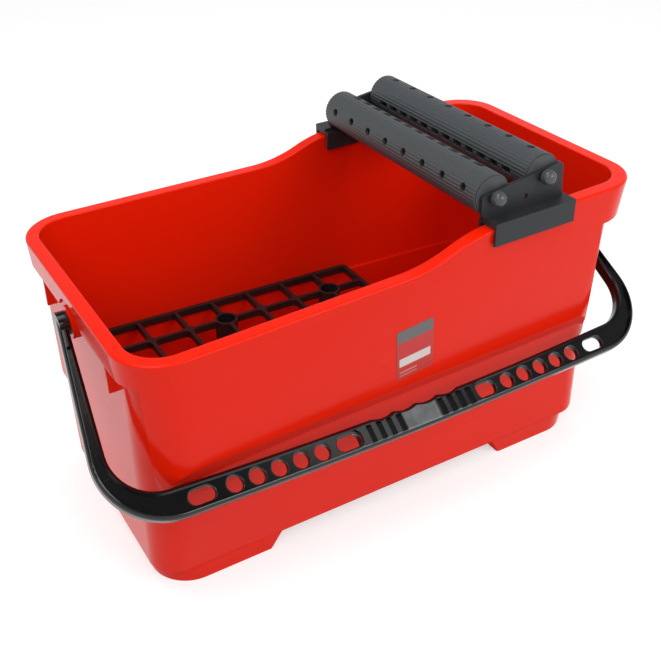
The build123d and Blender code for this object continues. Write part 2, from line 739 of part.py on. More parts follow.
# The hanging handle reaches further out than the tub's back, so the middle of the object is off
# the tub's own middle.
boxes = [piece.bounding_box() for piece in pieces.values()]
middle_y = (min(box.min.Y for box in boxes) + max(box.max.Y for box in boxes)) / 2
print(f"middle of the object at y = {middle_y:.4f}")

for name, piece in pieces.items():
    placed = piece.moved(Location((0, -middle_y, 0)))
    placed.label = name
    export_step(placed, f"parts/{name}.step")
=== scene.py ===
# %% [markdown]
# A grout cleaning bucket: a long red tub with a stepped rim, a black carrying handle, a black grate
# that keeps the sediment down, and a dark grey wringing unit with two perforated rollers. The
# solids carry every shape, size and joint. This lesson gives each of them the finish that it has on
# the real object, and remakes the two rollers with soft, wavy flutes in place of crisp grooves.

# %% Load the solids
import math

import bpy
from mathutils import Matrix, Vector


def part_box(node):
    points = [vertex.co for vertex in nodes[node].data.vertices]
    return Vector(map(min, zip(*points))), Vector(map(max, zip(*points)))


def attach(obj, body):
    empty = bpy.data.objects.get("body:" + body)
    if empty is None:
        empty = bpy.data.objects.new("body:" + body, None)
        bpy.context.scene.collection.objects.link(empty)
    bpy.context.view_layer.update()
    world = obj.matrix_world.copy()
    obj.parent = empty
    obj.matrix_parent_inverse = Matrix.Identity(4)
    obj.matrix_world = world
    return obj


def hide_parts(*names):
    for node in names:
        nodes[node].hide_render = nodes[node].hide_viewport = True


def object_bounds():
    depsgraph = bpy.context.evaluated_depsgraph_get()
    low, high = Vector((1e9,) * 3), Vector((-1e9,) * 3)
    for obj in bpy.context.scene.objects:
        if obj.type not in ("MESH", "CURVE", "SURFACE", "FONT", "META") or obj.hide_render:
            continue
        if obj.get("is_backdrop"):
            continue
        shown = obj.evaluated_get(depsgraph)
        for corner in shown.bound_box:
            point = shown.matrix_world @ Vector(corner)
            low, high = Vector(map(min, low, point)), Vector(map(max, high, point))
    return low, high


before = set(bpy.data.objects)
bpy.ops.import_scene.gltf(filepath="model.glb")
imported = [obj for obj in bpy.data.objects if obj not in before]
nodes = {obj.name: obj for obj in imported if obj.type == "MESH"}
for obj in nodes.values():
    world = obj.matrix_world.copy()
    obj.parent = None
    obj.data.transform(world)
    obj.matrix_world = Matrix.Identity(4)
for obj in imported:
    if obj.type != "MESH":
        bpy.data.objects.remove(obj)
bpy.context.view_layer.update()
scene = bpy.context.scene
scene.view_settings.view_transform = "Standard"

# %% [markdown]
# The picture is taken from the washing end, looking down over the rim. A camera is easiest to place
# by where it stands, how far it looks down and which way it is turned, so these three stand here.

# %% Camera
CAMERA_PLACE = (-0.434248, -0.704208, 0.676826)
CAMERA_DOWN = 32.868
CAMERA_TURN = -31.170
CAMERA_LENS = 52.66
SENSOR_WIDTH = 36.0

camera_data = bpy.data.cameras.new("camera")
camera_data.lens = CAMERA_LENS
camera_data.sensor_width = SENSOR_WIDTH
camera = bpy.data.objects.new("camera", camera_data)
camera.location = CAMERA_PLACE
camera.rotation_euler = (math.radians(90 - CAMERA_DOWN), 0, math.radians(CAMERA_TURN))
scene.collection.objects.link(camera)
scene.camera = camera


# %% [markdown]
# Every finish below is a small tree of nodes. One helper adds a node, sets its values and draws its
# links, so that a tree reads like a list of what it does. A value that is a socket becomes a link.
# The others are short names for the nodes that come back most often.

# %% Node helpers
def put(tree, kind, values=None, **settings):
    """Add a node, with its settings, and give its inputs values or links."""
    node = tree.nodes.new(kind)
    for key, value in settings.items():
        setattr(node, key, value)
    for key, value in (values or {}).items():
        if isinstance(value, bpy.types.NodeSocket):
            tree.links.new(value, node.inputs[key])
        else:
            node.inputs[key].default_value = value
    return node


def sum_up(tree, operation, first, second, clamp=False):
    """Result of one piece of arithmetic."""
    values = {0: first, 1: second}
    return put(tree, "ShaderNodeMath", values, operation=operation, use_clamp=clamp).outputs[0]


def absolute(tree, value):
    """A value without its sign."""
    return put(tree, "ShaderNodeMath", {0: value}, operation="ABSOLUTE").outputs[0]


def mix_value(tree, share, first, second):
    """Value between two others."""
    values = {"Factor": share, "A": first, "B": second}
    return put(tree, "ShaderNodeMix", values, data_type="FLOAT").outputs[0]


def spread(tree, value, low, high, to_low=0.0, to_high=1.0):
    """Stretch a range of a value to another range, clamped at both ends."""
    values = {"Value": value, "From Min": low, "From Max": high}
    values.update({"To Min": to_low, "To Max": to_high})
    return put(tree, "ShaderNodeMapRange", values).outputs["Result"]


def reach_along(tree, vector, direction):
    """How far a vector reaches in a direction."""
    values = {0: vector, 1: direction}
    return put(tree, "ShaderNodeVectorMath", values, operation="DOT_PRODUCT").outputs["Value"]


def object_place(tree):
    """Place of a point on the object, in metres."""
    return put(tree, "ShaderNodeTexCoord").outputs["Object"]


def new_material(name):
    """Material with the plain shader in it."""
    material = bpy.data.materials.new(name)
    material.use_nodes = True
    return material


def inside(material):
    """Node tree of a material and the shader in it."""
    return material.node_tree, material.node_tree.nodes["Principled BSDF"]


# %% [markdown]
# The object stands in a white studio: pale walls all round, a darker ceiling and soft boxes in it.
# A mirror-like black handle shows that ceiling, so for the camera and for reflections the world's
# brightness falls off towards the zenith. Everything else gets an even fill light.

# %% Studio world
FILL_LEVEL = 0.62
CEILING_STOPS = [(0.0, 1.0), (0.30, 0.95), (0.60, 0.26), (0.80, 0.09), (1.0, 0.06)]
WHITE = (1, 1, 1, 1)


def seen_ray(tree):
    """1 for rays from the camera, from reflections and through glass, and 0 for all others."""
    rays = put(tree, "ShaderNodeLightPath").outputs
    seen = sum_up(tree, "MAXIMUM", rays["Is Camera Ray"], rays["Is Glossy Ray"])
    return sum_up(tree, "MAXIMUM", seen, rays["Is Transmission Ray"])


world = bpy.data.worlds.new("studio")
scene.world = world
world.use_nodes = True
sky = world.node_tree
direction = put(sky, "ShaderNodeTexCoord").outputs["Generated"]
height = put(sky, "ShaderNodeSeparateXYZ", {0: direction}).outputs["Z"]
ceiling = put(sky, "ShaderNodeValToRGB", {"Fac": height})
stops = ceiling.color_ramp.elements
stops.remove(stops[1])
for number, (place, level) in enumerate(CEILING_STOPS):
    stop = stops[0] if number == 0 else stops.new(place)
    stop.position = place
    stop.color = (level, level, level, 1)
brightness = mix_value(sky, seen_ray(sky), FILL_LEVEL, ceiling.outputs["Color"])
backdrop = sky.nodes["Background"].inputs
backdrop["Color"].default_value = WHITE
sky.links.new(brightness, backdrop["Strength"])
print("fill light:", FILL_LEVEL, "ceiling stops:", len(stops))

# %% [markdown]
# Four soft boxes: a large key light in front of the roller end, a wide one overhead for the rim
# and the inside, a weaker one from the washing end that fills the inside and the near corner, and a
# small one that draws the sheen on the flat of the grip.

# %% Soft boxes
SOFT_BOXES = {
    "key_box": dict(
        place=(0.8, -1.8, 1.35), target=(0.0, 0.0, 0.15), size=(1.5, 1.1), power=20.0,
    ),
    "overhead_box": dict(
        place=(-0.4, 0.1, 1.9), target=(0.0, 0.0, 0.15), size=(1.4, 1.2), power=14.0,
    ),
    "washing_end_box": dict(
        place=(-1.25, -0.95, 1.6), target=(0.05, 0.0, 0.2), size=(1.0, 0.8), power=9.0,
    ),
    "sheen_box": dict(
        place=(0.69, -0.58, 1.5), target=(0.0, -0.1, 0.15), size=(0.55, 0.5), power=1.3,
    ),
}


def soft_box(name, place, target, size, power):
    """Rectangular lamp that looks at a target."""
    lamp = bpy.data.lights.new(name, "AREA")
    lamp.shape = "RECTANGLE"
    lamp.size, lamp.size_y = size
    lamp.energy = power
    box = bpy.data.objects.new(name, lamp)
    box.location = place
    box.rotation_euler = (Vector(target) - Vector(place)).to_track_quat("-Z", "Y").to_euler()
    scene.collection.objects.link(box)


for name, setting in SOFT_BOXES.items():
    soft_box(name, **setting)
print("soft boxes:", ", ".join(SOFT_BOXES))

# %% [markdown]
# The floor is plain white. It takes the object's shadow as any matt floor does, and a little glow
# that only the camera and reflections see lifts the lit part of it to the white of the backdrop.

# %% Floor
FLOOR_HALF = 6.0
FLOOR_GLOW = 0.54
FLOOR_COLOUR = (0.56, 0.56, 0.56, 1)
FLOOR_ROUGHNESS = 0.9
FLOOR_SPECULAR = 0.1

corners = [(x * FLOOR_HALF, y * FLOOR_HALF, 0) for x, y in ((-1, -1), (1, -1), (1, 1), (-1, 1))]
floor_mesh = bpy.data.meshes.new("floor")
floor_mesh.from_pydata(corners, [], [(0, 1, 2, 3)])
floor = bpy.data.objects.new("floor", floor_mesh)
scene.collection.objects.link(floor)
floor_white = new_material("floor_white")
tree, shader = inside(floor_white)
shader.inputs["Base Color"].default_value = FLOOR_COLOUR
shader.inputs["Roughness"].default_value = FLOOR_ROUGHNESS
shader.inputs["Specular IOR Level"].default_value = FLOOR_SPECULAR
shader.inputs["Emission Color"].default_value = WHITE
glow = sum_up(tree, "MULTIPLY", seen_ray(tree), FLOOR_GLOW)
tree.links.new(glow, shader.inputs["Emission Strength"])
floor_mesh.materials.append(floor_white)
floor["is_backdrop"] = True
print("floor:", 2 * FLOOR_HALF, "m wide")


# %% [markdown]
# Effects that several finishes share are node groups, each made once. The first is the skin of a
# moulded part: steel moulds leave a faint orange peel with a finer grain on it, and the gloss
# drifts a little where the plastic cooled at different speeds.

# %% Group: moulded skin
TINT_TO_DRIFT = 0.45
SKIN_INPUTS = {"Peel Scale": 260.0, "Grain Scale": 1500.0, "Grain Share": 0.3, "Drift Scale": 7.0}


def new_group(name, inputs, outputs):
    """Empty shader node group with float inputs, their default values, and float outputs."""
    group = bpy.data.node_groups.new(name, "ShaderNodeTree")
    for label, value in inputs.items():
        socket = group.interface.new_socket(label, in_out="INPUT", socket_type="NodeSocketFloat")
        socket.default_value = value
    for label in outputs:
        group.interface.new_socket(label, in_out="OUTPUT", socket_type="NodeSocketFloat")
    return group, group.nodes.new("NodeGroupInput").outputs


def finish_group(group, results):
    """Link the results to the group's outputs."""
    put(group, "NodeGroupOutput", results)
    print("group:", group.name, [item.name for item in group.interface.items_tree])


def noise(tree, place, scale, detail=2.0, roughness=0.5):
    """Cloudy noise between 0 and 1."""
    values = {"Vector": place, "Scale": scale, "Detail": detail, "Roughness": roughness}
    return put(tree, "ShaderNodeTexNoise", values).outputs[0]


skin_group, given = new_group("moulded_skin", SKIN_INPUTS, ["Height", "Gloss Drift", "Tint"])
place = object_place(skin_group)
peel = noise(skin_group, place, given["Peel Scale"], detail=1.0)
grain = noise(skin_group, place, given["Grain Scale"], roughness=0.6)
drift = noise(skin_group, place, given["Drift Scale"], detail=4.0, roughness=0.6)
tint = noise(skin_group, place, sum_up(skin_group, "MULTIPLY", given["Drift Scale"], TINT_TO_DRIFT))
finish_group(skin_group, {
    "Height": mix_value(skin_group, given["Grain Share"], peel, grain),
    "Gloss Drift": sum_up(skin_group, "SUBTRACT", drift, 0.5),
    "Tint": spread(skin_group, tint, 0.3, 0.7),
})

# %% [markdown]
# The second group is what hands and shelves leave on plastic: short hair scratches in two
# directions, thin enough to show only in the gloss, and soft smudges. A scratch is noise that is
# stretched along one axis and cut off near its peak.

# %% Group: handling marks
MARK_INPUTS = {"Scratch Scale": 38.0, "Smudge Scale": 16.0}
SCRATCH_LAYERS = [(0.35, (1.0, 26.0, 26.0)), (-0.6, (24.0, 1.0, 24.0))]
SCRATCH_CUT = (0.70, 0.76)
PATCH_CUT = (0.48, 0.66)
SMUDGE_CUT = (0.5, 0.78)

marks_group, given = new_group("handling_marks", MARK_INPUTS, ["Scratches", "Smudges"])
place = object_place(marks_group)
layers = []
for turn, stretch in SCRATCH_LAYERS:
    laid = {"Vector": place, "Rotation": (turn, turn * 0.5, turn), "Scale": stretch}
    laid = put(marks_group, "ShaderNodeMapping", laid).outputs[0]
    streaks = noise(marks_group, laid, given["Scratch Scale"], detail=1.0)
    layers.append(spread(marks_group, streaks, *SCRATCH_CUT))
patches = noise(marks_group, place, given["Smudge Scale"], detail=3.0)
patches = spread(marks_group, patches, *PATCH_CUT)
smudges = noise(marks_group, place, given["Smudge Scale"], detail=5.0, roughness=0.65)
finish_group(marks_group, {
    "Scratches": sum_up(marks_group, "MULTIPLY", sum_up(marks_group, "MAXIMUM", *layers), patches),
    "Smudges": spread(marks_group, smudges, *SMUDGE_CUT),
})

# %% [markdown]
# The third group finds edges. The Bevel node looks around a point and gives the direction that a
# rounded edge would have there; where it differs from the face's own direction there is an edge.
# Moulded edges are made a little paler than the faces, in broken stretches: partly wear from
# handling and partly a painted highlight along the edge.

# %% Group: edge wear and painted edge highlight
EDGE_INPUTS = {"Radius": 0.0008, "Break Scale": 90.0}
EDGE_CUT = (0.02, 0.3)
EDGE_SAMPLES = 4

worn_highlit_edge_group, given = new_group("worn_and_highlit_edges", EDGE_INPUTS, ["Edge"])
rounded = {"Radius": given["Radius"]}
rounded = put(worn_highlit_edge_group, "ShaderNodeBevel", rounded, samples=EDGE_SAMPLES).outputs[0]
flat = put(worn_highlit_edge_group, "ShaderNodeNewGeometry").outputs["Normal"]
apart = sum_up(worn_highlit_edge_group, "SUBTRACT", 1.0, reach_along(worn_highlit_edge_group, rounded, flat))
edge = spread(worn_highlit_edge_group, apart, *EDGE_CUT)
broken = noise(worn_highlit_edge_group, object_place(worn_highlit_edge_group), given["Break Scale"], detail=3.0)
broken = spread(worn_highlit_edge_group, broken, 0.35, 0.65, to_low=0.4)
finish_group(worn_highlit_edge_group, {"Edge": sum_up(worn_highlit_edge_group, "MULTIPLY", edge, broken)})


# %% [markdown]
# All the mouldings are the same kind of material with different values, so one function mixes
# them: two close colours drifting into each other, paler edges, gloss that varies with the skin and
# the marks, and a bump from the skin. The colours are linear values. A Mix node has one pair of
# inputs for each kind of value, so its colours are picked by number.

# %% Moulded plastic
MIX_SHARE, MIX_FIRST, MIX_SECOND, MIX_COLOUR = 0, 6, 7, 2
GLOSS_DRIFT = 0.10
SCRATCH_WEIGHT = 0.16
SMUDGE_WEIGHT = 0.04


def use_group(tree, group, values):
    """Place a shared group in a material with its own values."""
    return put(tree, "ShaderNodeGroup", values, node_tree=group).outputs


def mix_colour(tree, share, first, second):
    """Colour between two others, which are colours or sockets."""
    def colour(value):
        return value if isinstance(value, bpy.types.NodeSocket) else (*value, 1)
    values = {MIX_SHARE: share, MIX_FIRST: colour(first), MIX_SECOND: colour(second)}
    return put(tree, "ShaderNodeMix", values, data_type="RGBA").outputs[MIX_COLOUR]


def feed(shader, label):
    """Socket that feeds an input of the shader."""
    return shader.inputs[label].links[0].from_socket


def raise_bump(tree, shader, height, distance, strength=1.0):
    """Bump from a height, on top of the bump that the shader already has."""
    values = {"Strength": strength, "Distance": distance, "Height": height}
    if shader.inputs["Normal"].is_linked:
        values["Normal"] = feed(shader, "Normal")
    bumped = put(tree, "ShaderNodeBump", values).outputs["Normal"]
    tree.links.new(bumped, shader.inputs["Normal"])


def moulded_plastic(name, dark, light, edge_colour, edge_share, gloss, bump, skin, marks=None):
    """Moulded plastic: colours drift from dark to light, gloss is the middle of its roughness."""
    material = new_material(name)
    tree, shader = inside(material)
    skin_out = use_group(tree, skin_group, skin)
    marks_out = use_group(tree, marks_group, marks)
    edge_out = use_group(tree, worn_highlit_edge_group, None)
    colour = mix_colour(tree, skin_out["Tint"], dark, light)
    # paler edges: partly edge wear and partly a painted edge highlight
    paler = sum_up(tree, "MULTIPLY", edge_out["Edge"], edge_share)
    colour = mix_colour(tree, paler, colour, edge_colour)
    tree.links.new(colour, shader.inputs["Base Color"])
    rough = {0: skin_out["Gloss Drift"], 1: GLOSS_DRIFT, 2: gloss}
    rough = put(tree, "ShaderNodeMath", rough, operation="MULTIPLY_ADD").outputs[0]
    for mark, weight in (("Scratches", SCRATCH_WEIGHT), ("Smudges", SMUDGE_WEIGHT)):
        mark = sum_up(tree, "MULTIPLY", marks_out[mark], weight)
        rough = sum_up(tree, "ADD", rough, mark, clamp=True)
    tree.links.new(rough, shader.inputs["Roughness"])
    raise_bump(tree, shader, skin_out["Height"], bump)
    return material


def paint(material, *owners):
    """Give solids their finish."""
    for owner in owners:
        mesh = nodes[owner].data
        mesh.materials.clear()
        mesh.materials.append(material)
    print(material.name, "on", ", ".join(owners))


# %% [markdown]
# The tub is glossy polypropylene, dyed through in a strong red with almost no green or blue in it.
# Whatever white it shows is reflection, so the colour stays pure and the gloss does the rest. The
# faces that look down, like the slope under each raised panel, come from the unpolished part of the
# mould and are matt. Their mask is the downward share of the face's direction.

# %% Tub
TUB_SPECULAR = 0.13
MATT_ROUGHNESS = 0.65
MATT_FROM, MATT_FULL = -0.14, -0.34

tub_red = moulded_plastic(
    "tub_red",
    dark=(0.72, 0.012, 0.0012),
    light=(0.80, 0.015, 0.0020),
    edge_colour=(0.84, 0.040, 0.018),
    edge_share=0.25,
    gloss=0.17,
    bump=0.00002,
    skin={"Peel Scale": 190.0, "Grain Share": 0.15, "Drift Scale": 6.0},
    marks={"Smudge Scale": 11.0},
)
tree, shader = inside(tub_red)
shader.inputs["Specular IOR Level"].default_value = TUB_SPECULAR
direction = put(tree, "ShaderNodeTexCoord").outputs["Normal"]
upward = put(tree, "ShaderNodeSeparateXYZ", {0: direction}).outputs["Z"]
looks_down = spread(tree, upward, MATT_FROM, MATT_FULL)
rough = mix_value(tree, looks_down, feed(shader, "Roughness"), MATT_ROUGHNESS)
tree.links.new(rough, shader.inputs["Roughness"])
paint(tub_red, "tub")

# %% [markdown]
# The handle is the blackest and glossiest piece. Only the plain pad in the middle of the grip is
# paler: a painted sheen that stands in for a soft box's reflection on its smooth flat. Its mask is
# the span between the grooves, on faces that look along the handle's thickness, broken up by noise.

# %% Handle
PAD_HALF = 0.0188
PAD_FADE = 0.001
# colour of the painted sheen on the grip pad
PAD_SHEEN_COLOUR = (0.095, 0.109, 0.112)
PAD_FACING = (0.93, 0.99)
SHEEN_BREAK_SCALE = 90.0
SHEEN_LEAST = 0.55
HANDLE_DROP = math.radians(35.3)

handle_black = moulded_plastic(
    "handle_black",
    dark=(0.0030, 0.0032, 0.0035),
    light=(0.0048, 0.0051, 0.0055),
    edge_colour=(0.045, 0.049, 0.052),
    edge_share=0.6,
    gloss=0.14,
    bump=0.00002,
    skin={"Peel Scale": 240.0, "Grain Share": 0.2},
    marks={"Scratch Scale": 46.0},
)
tree, shader = inside(handle_black)
spots = put(tree, "ShaderNodeTexCoord").outputs
beside = absolute(tree, put(tree, "ShaderNodeSeparateXYZ", {0: spots["Object"]}).outputs["X"])
thickness = (0.0, -math.sin(HANDLE_DROP), math.cos(HANDLE_DROP))
facing = absolute(tree, reach_along(tree, spots["Normal"], thickness))
on_pad = spread(tree, beside, PAD_HALF, PAD_HALF - PAD_FADE)
pad = sum_up(tree, "MULTIPLY", on_pad, spread(tree, facing, *PAD_FACING))
# painted sheen: the pad is made paler where a soft box would reflect, broken up by noise
pad_sheen = noise(tree, spots["Object"], SHEEN_BREAK_SCALE, detail=3.0)
pad_sheen = sum_up(tree, "MULTIPLY", pad, spread(tree, pad_sheen, 0.3, 0.6, to_low=SHEEN_LEAST))
colour = mix_colour(tree, pad_sheen, feed(shader, "Base Color"), PAD_SHEEN_COLOUR)
tree.links.new(colour, shader.inputs["Base Color"])
paint(handle_black, "handle")

# %% [markdown]
# The grate is a black like the handle's, a little paler, with a duller and grainier skin.

# %% Grate
grate_black = moulded_plastic(
    "grate_black",
    dark=(0.008, 0.0075, 0.0075),
    light=(0.013, 0.012, 0.012),
    edge_colour=(0.04, 0.036, 0.036),
    edge_share=0.4,
    gloss=0.4,
    bump=0.00005,
    skin={"Peel Scale": 420.0, "Grain Share": 0.6},
)
paint(grate_black, "sediment_grate")

# %% [markdown]
# Brackets and tie bars are satin grey, the end plugs a little paler, and the caps on the axle
# ends are glossier, so that each of them catches a round highlight.

# %% Wringing unit mouldings
UNIT_SPECULAR = 0.3

unit_grey = moulded_plastic(
    "unit_grey",
    dark=(0.015, 0.018, 0.020),
    light=(0.020, 0.023, 0.025),
    edge_colour=(0.07, 0.075, 0.08),
    edge_share=0.5,
    gloss=0.46,
    bump=0.00004,
    skin={"Peel Scale": 380.0, "Grain Share": 0.55},
)
shader = inside(unit_grey)[1]
shader.inputs["Specular IOR Level"].default_value = UNIT_SPECULAR
paint(unit_grey, "front_bracket", "back_bracket", "front_tie_bar", "rear_tie_bar")
plug_dark = moulded_plastic(
    "plug_dark",
    dark=(0.040, 0.044, 0.046),
    light=(0.052, 0.057, 0.060),
    edge_colour=(0.10, 0.105, 0.11),
    edge_share=0.5,
    gloss=0.48,
    bump=0.00004,
    skin={"Peel Scale": 420.0, "Grain Share": 0.6},
)
paint(plug_dark, *[name for name in nodes if "plug" in name])
cap_dark = moulded_plastic(
    "cap_dark",
    dark=(0.045, 0.050, 0.053),
    light=(0.060, 0.066, 0.069),
    edge_colour=(0.10, 0.105, 0.11),
    edge_share=0.3,
    gloss=0.26,
    bump=0.00002,
    skin={"Peel Scale": 300.0, "Grain Share": 0.2},
)
paint(cap_dark, *[name for name in nodes if "cap" in name])

# %% [markdown]
# The axles are drawn steel. Drawing leaves fine lines along the rod: noise stretched along Y.

# %% Axles
DRAWN_STRETCH = (1.0, 0.02, 1.0)
DRAWN_SCALE = 2600.0
STEEL_DARK, STEEL_PALE = (0.42, 0.42, 0.43), (0.62, 0.62, 0.63)
STEEL_ROUGHNESS = (0.22, 0.4)
STEEL_BUMP = 0.00002
STEEL_BUMP_STRENGTH = 0.6

axle_steel = new_material("axle_steel")
tree, shader = inside(axle_steel)
shader.inputs["Metallic"].default_value = 1.0
drawn = {"Vector": object_place(tree), "Scale": DRAWN_STRETCH}
drawn = put(tree, "ShaderNodeMapping", drawn).outputs[0]
lines = noise(tree, drawn, DRAWN_SCALE, detail=3.0)
tree.links.new(mix_colour(tree, lines, STEEL_DARK, STEEL_PALE), shader.inputs["Base Color"])
tree.links.new(spread(tree, lines, 0.2, 0.8, *STEEL_ROUGHNESS), shader.inputs["Roughness"])
raise_bump(tree, shader, lines, STEEL_BUMP, STEEL_BUMP_STRENGTH)
paint(axle_steel, "front_axle", "rear_axle")

# %% [markdown]
# The label is a plain sticker: a thin border round a red film, with a dark band across its head,
# one pale field and two thin lines. The pattern is drawn in the sticker's own directions, which
# follow from how the panel leans and closes in and how the sticker is turned on it.

# %% Label
LABEL_SIZE = (0.040, 0.056)
LABEL_BORDER = 0.0008
LABEL_TURN = math.radians(6.0)
PANEL_CLOSING = 0.0296
PANEL_LEAN = 0.08
BORDER_COLOUR = (0.24, 0.06, 0.055)
FILM_COLOUR = (0.50, 0.006, 0.004)
BAND_COLOUR = (0.11, 0.10, 0.10)
FIELD_COLOUR = (0.62, 0.56, 0.53)
LINE_COLOUR = (0.56, 0.16, 0.13)
FILM_SIZE = (LABEL_SIZE[0] - 2 * LABEL_BORDER, LABEL_SIZE[1] - 2 * LABEL_BORDER)
LABEL_FIELDS = {
    "film": ((0.0, 0.0), FILM_SIZE, FILM_COLOUR),
    "head band": ((0.0, 0.0212), (LABEL_SIZE[0], 0.0136), BAND_COLOUR),
    "pale field": ((0.0, -0.0090), (0.0345, 0.0095), FIELD_COLOUR),
    "upper line": ((-0.0075, -0.0205), (0.0190, 0.0022), LINE_COLOUR),
    "lower line": ((-0.0075, -0.0245), (0.0190, 0.0016), LINE_COLOUR),
}

panel_out = Vector((PANEL_CLOSING, -1.0, -PANEL_LEAN)).normalized()
panel_along = Vector((1.0, PANEL_CLOSING, 0.0)).normalized()
panel_up = panel_out.cross(panel_along)
label_along = panel_along * math.cos(LABEL_TURN) + panel_up * math.sin(LABEL_TURN)
label_up = panel_up * math.cos(LABEL_TURN) - panel_along * math.sin(LABEL_TURN)
label_low, label_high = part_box("blank_label")
label_middle = (label_low + label_high) / 2

label_film = moulded_plastic(
    "label_film",
    dark=BORDER_COLOUR,
    light=BORDER_COLOUR,
    edge_colour=BORDER_COLOUR,
    edge_share=0.6,
    gloss=0.32,
    bump=0.00002,
    skin={"Peel Scale": 150.0, "Grain Share": 0.1},
)
tree, shader = inside(label_film)
offset = {0: object_place(tree), 1: label_middle}
offset = put(tree, "ShaderNodeVectorMath", offset, operation="SUBTRACT").outputs[0]
across = reach_along(tree, offset, label_along)
upward = reach_along(tree, offset, label_up)


def label_mask(middle, size):
    """Mask of a rectangle on the label."""
    past = []
    for value, centre, extent in zip((across, upward), middle, size):
        distance = absolute(tree, sum_up(tree, "SUBTRACT", value, centre))
        past.append(sum_up(tree, "SUBTRACT", distance, extent / 2))
    return sum_up(tree, "LESS_THAN", sum_up(tree, "MAXIMUM", *past), 0.0)


colour = feed(shader, "Base Color")
for middle, size, ink in LABEL_FIELDS.values():
    colour = mix_colour(tree, label_mask(middle, size), colour, ink)
tree.links.new(colour, shader.inputs["Base Color"])
paint(label_film, "blank_label")
print("label fields:", ", ".join(LABEL_FIELDS))


# %% [markdown]
# A roller is an extruded tube with fine flutes, pierced by a row of round holes and two rows of
# windows. The rows and their sizes are the solid's, and only the flutes get a softer profile. A
# rule makes all of it, so Geometry Nodes build it: a wavy ring is swept along the axis,
# and rows of cutters, laid out by count and pitch, are taken away from it. One tree with named
# inputs makes both rollers.

# %% Roller tree: inputs
ROLLER_SIZES = {
    "Radius": 0.0192,
    "Bore": 0.0160,
    "Length": 0.249,
    "Flute Depth": 0.0004,
    "Hole Radius": 0.0037,
    "Hole Pitch": 0.0305,
    "Window Length": 0.0120,
    "Window Width": 0.0065,
    "Window Pitch": 0.0180,
    "Row Angle": 0.0,
    "First Window Turn": math.radians(98.0),
    "Second Window Turn": math.radians(-88.0),
}
ROLLER_COUNTS = {"Flutes": 36, "Holes": 8, "Windows": 12}

roller_tree = bpy.data.node_groups.new("fluted_roller", "GeometryNodeTree")
roller_keys = {}


def roller_input(label, kind):
    """Named input of the roller tree, whose identifier is kept for the modifier."""
    socket = roller_tree.interface.new_socket(label, in_out="INPUT", socket_type=kind)
    roller_keys[label] = socket.identifier
    return socket


roller_tree.interface.new_socket("Geometry", in_out="OUTPUT", socket_type="NodeSocketGeometry")
for label, value in ROLLER_SIZES.items():
    roller_input(label, "NodeSocketFloat").default_value = value
for label, value in ROLLER_COUNTS.items():
    roller_input(label, "NodeSocketInt").default_value = value
roller_input("Axis Place", "NodeSocketVector")
given = roller_tree.nodes.new("NodeGroupInput").outputs
print("roller inputs:", ", ".join(roller_keys))


# %% [markdown]
# The flutes are a cosine around the ring, squared so that the lands are wide and the grooves
# narrow. A row of profiles along the axis would do as well, but sweeping one ring is shorter.

# %% Roller tree: fluted tube
STEPS_PER_FLUTE = 10
STEPS_ALONG = 42
BORE_SIDES = 72
BORE_OVERRUN = 1.1
GROOVE_POWER = 2.0


def made(kind, values, output=0, **settings):
    """Output of a new node in the roller tree."""
    return put(roller_tree, kind, values, **settings).outputs[output]


def times(first, second):
    """Product of two values or sockets in the roller tree."""
    return sum_up(roller_tree, "MULTIPLY", first, second)


def triple(x=0.0, y=0.0, z=0.0):
    """Vector of three values or sockets in the roller tree."""
    return made("ShaderNodeCombineXYZ", {"X": x, "Y": y, "Z": z})


def moved(geometry, shift=(0, 0, 0), turn=(0, 0, 0)):
    """Geometry turned and then shifted."""
    values = {"Geometry": geometry, "Translation": shift, "Rotation": turn}
    return made("GeometryNodeTransform", values)


def upright_line(length):
    """Line of a length along Z, with its middle at the origin."""
    ends = {"Start": triple(z=times(length, -0.5)), "End": triple(z=times(length, 0.5))}
    return made("GeometryNodeCurvePrimitiveLine", ends)


def swept(line, profile):
    """Profile swept along a line, with closed ends."""
    values = {"Curve": line, "Profile Curve": profile, "Fill Caps": True}
    return made("GeometryNodeCurveToMesh", values)


ring_points = times(given["Flutes"], STEPS_PER_FLUTE)
ring = made("GeometryNodeCurvePrimitiveCircle", {"Resolution": ring_points, "Radius": 1.0})
phase = times(made("GeometryNodeInputIndex", {}), math.tau / STEPS_PER_FLUTE)
wave = made("ShaderNodeMath", {0: phase}, operation="COSINE")
groove = sum_up(roller_tree, "POWER", spread(roller_tree, wave, -1.0, 1.0), GROOVE_POWER)
groove = times(groove, given["Flute Depth"])
reach = sum_up(roller_tree, "SUBTRACT", given["Radius"], groove)
spoke = {0: made("GeometryNodeInputPosition", {}), "Scale": reach}
spoke = made("ShaderNodeVectorMath", spoke, operation="SCALE")
wavy = made("GeometryNodeSetPosition", {"Geometry": ring, "Position": spoke})
axis_line = {"Curve": upright_line(given["Length"]), "Count": STEPS_ALONG}
rod = swept(made("GeometryNodeResampleCurve", axis_line), wavy)
bore_depth = times(given["Length"], BORE_OVERRUN)
bore = {"Vertices": BORE_SIDES, "Radius": given["Bore"], "Depth": bore_depth}
bore = made("GeometryNodeMeshCylinder", bore, "Mesh")
print("tube drawn with", STEPS_PER_FLUTE, "steps a flute")


# %% [markdown]
# The cutters are a round drill and a punch with rounded corners. Each is made once, laid on its
# side through the wall, copied to the points of a line along the axis, and turned to its row's
# angle.

# %% Roller tree: rows of cutters
WALL_MIDDLE = 0.95
CUTTER_DEPTH = 0.7
DRILL_SIDES = 28
WINDOW_CORNER = 0.0015
CORNER_STEPS = 4
ON_ITS_SIDE = (0, math.pi / 2, 0)


